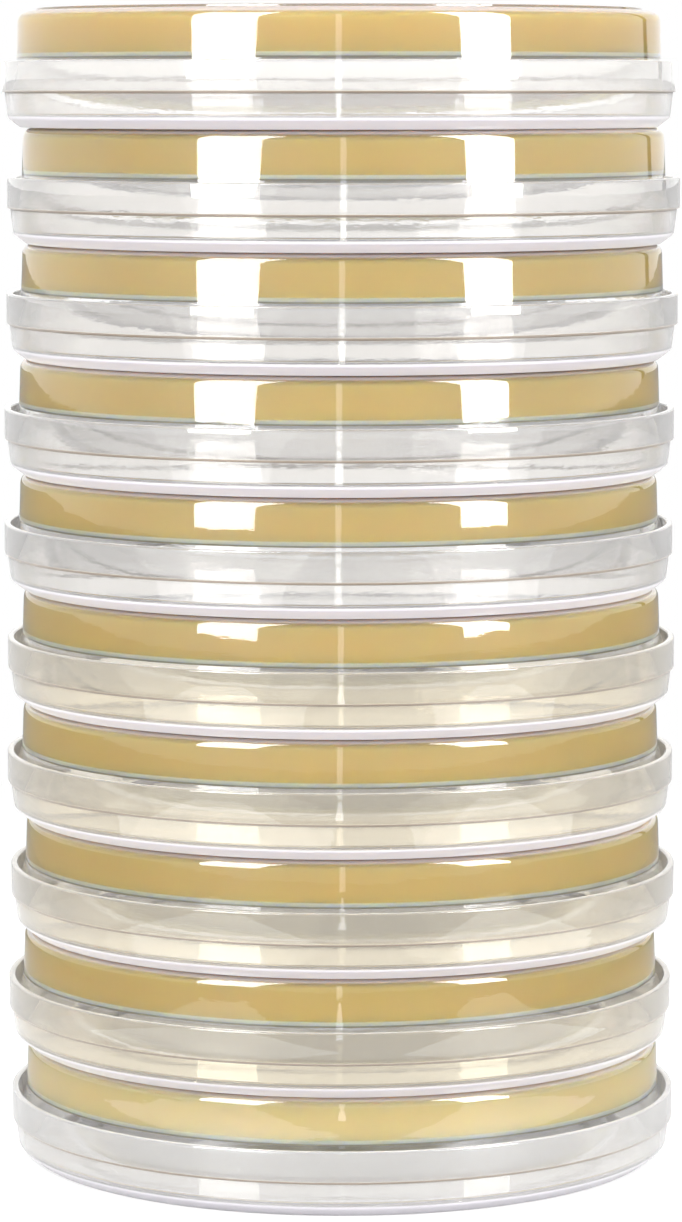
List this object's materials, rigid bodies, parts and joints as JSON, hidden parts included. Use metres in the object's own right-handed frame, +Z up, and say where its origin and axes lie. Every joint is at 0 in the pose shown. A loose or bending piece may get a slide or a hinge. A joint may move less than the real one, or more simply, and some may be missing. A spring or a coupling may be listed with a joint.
{
  "type": "petri dish stack",
  "caption": "Stack of round vented petri dishes in clear plastic, each upside down on its lid with amber agar poured in its base.",
  "frame": {"origin": "middle of the stack's footprint, on the surface that the stack stands on", "axes": "+Z up along the stack; X and Y level, and the dishes are round, so X is only the direction in which they were set down slightly off the axis"},
  "size_m": [0.0926, 0.092, 0.1576],
  "materials": {
    "lid_polystyrene": "clear, polished moulding",
    "base_polystyrene": "clear, polished moulding",
    "agar_gel": "wet, smooth, slightly cloudy gel"
  },
  "bodies": {
    "lid_01": {"dish_01_lid": "lid_polystyrene"},
    "base_01": {"dish_01_base": "base_polystyrene", "dish_01_agar": "agar_gel"},
    "lid_02": {"dish_02_lid": "lid_polystyrene"},
    "base_02": {"dish_02_base": "base_polystyrene", "dish_02_agar": "agar_gel"},
    "lid_03": {"dish_03_lid": "lid_polystyrene"},
    "base_03": {"dish_03_base": "base_polystyrene", "dish_03_agar": "agar_gel"},
    "lid_04": {"dish_04_lid": "lid_polystyrene"},
    "base_04": {"dish_04_base": "base_polystyrene", "dish_04_agar": "agar_gel"},
    "lid_05": {"dish_05_lid": "lid_polystyrene"},
    "base_05": {"dish_05_base": "base_polystyrene", "dish_05_agar": "agar_gel"},
    "lid_06": {"dish_06_lid": "lid_polystyrene"},
    "base_06": {"dish_06_base": "base_polystyrene", "dish_06_agar": "agar_gel"},
    "lid_07": {"dish_07_lid": "lid_polystyrene"},
    "base_07": {"dish_07_base": "base_polystyrene", "dish_07_agar": "agar_gel"},
    "lid_08": {"dish_08_lid": "lid_polystyrene"},
    "base_08": {"dish_08_base": "base_polystyrene", "dish_08_agar": "agar_gel"},
    "lid_09": {"dish_09_lid": "lid_polystyrene"},
    "base_09": {"dish_09_base": "base_polystyrene", "dish_09_agar": "agar_gel"},
    "lid_10": {"dish_10_lid": "lid_polystyrene"},
    "base_10": {"dish_10_base": "base_polystyrene", "dish_10_agar": "agar_gel"}
  },
  "joints": [
    {"name": "base_01_lift", "type": "slide", "parent": "lid_01", "child": "base_01", "axis": [0, 0, 1], "range_m": [0, 0.02]},
    {"name": "dish_02_lift", "type": "slide", "parent": "base_01", "child": "lid_02", "axis": [0, 0, 1], "range_m": [0, 0.01]},
    {"name": "base_02_lift", "type": "slide", "parent": "lid_02", "child": "base_02", "axis": [0, 0, 1], "range_m": [0, 0.02]},
    {"name": "dish_03_lift", "type": "slide", "parent": "base_02", "child": "lid_03", "axis": [0, 0, 1], "range_m": [0, 0.01]},
    {"name": "base_03_lift", "type": "slide", "parent": "lid_03", "child": "base_03", "axis": [0, 0, 1], "range_m": [0, 0.02]},
    {"name": "dish_04_lift", "type": "slide", "parent": "base_03", "child": "lid_04", "axis": [0, 0, 1], "range_m": [0, 0.01]},
    {"name": "base_04_lift", "type": "slide", "parent": "lid_04", "child": "base_04", "axis": [0, 0, 1], "range_m": [0, 0.02]},
    {"name": "dish_05_lift", "type": "slide", "parent": "base_04", "child": "lid_05", "axis": [0, 0, 1], "range_m": [0, 0.01]},
    {"name": "base_05_lift", "type": "slide", "parent": "lid_05", "child": "base_05", "axis": [0, 0, 1], "range_m": [0, 0.02]},
    {"name": "dish_06_lift", "type": "slide", "parent": "base_05", "child": "lid_06", "axis": [0, 0, 1], "range_m": [0, 0.01]},
    {"name": "base_06_lift", "type": "slide", "parent": "lid_06", "child": "base_06", "axis": [0, 0, 1], "range_m": [0, 0.02]},
    {"name": "dish_07_lift", "type": "slide", "parent": "base_06", "child": "lid_07", "axis": [0, 0, 1], "range_m": [0, 0.01]},
    {"name": "base_07_lift", "type": "slide", "parent": "lid_07", "child": "base_07", "axis": [0, 0, 1], "range_m": [0, 0.02]},
    {"name": "dish_08_lift", "type": "slide", "parent": "base_07", "child": "lid_08", "axis": [0, 0, 1], "range_m": [0, 0.01]},
    {"name": "base_08_lift", "type": "slide", "parent": "lid_08", "child": "base_08", "axis": [0, 0, 1], "range_m": [0, 0.02]},
    {"name": "dish_09_lift", "type": "slide", "parent": "base_08", "child": "lid_09", "axis": [0, 0, 1], "range_m": [0, 0.01]},
    {"name": "base_09_lift", "type": "slide", "parent": "lid_09", "child": "base_09", "axis": [0, 0, 1], "range_m": [0, 0.02]},
    {"name": "dish_10_lift", "type": "slide", "parent": "base_09", "child": "lid_10", "axis": [0, 0, 1], "range_m": [0, 0.01]},
    {"name": "base_10_lift", "type": "slide", "parent": "lid_10", "child": "base_10", "axis": [0, 0, 1], "range_m": [0, 0.02]}
  ]
}
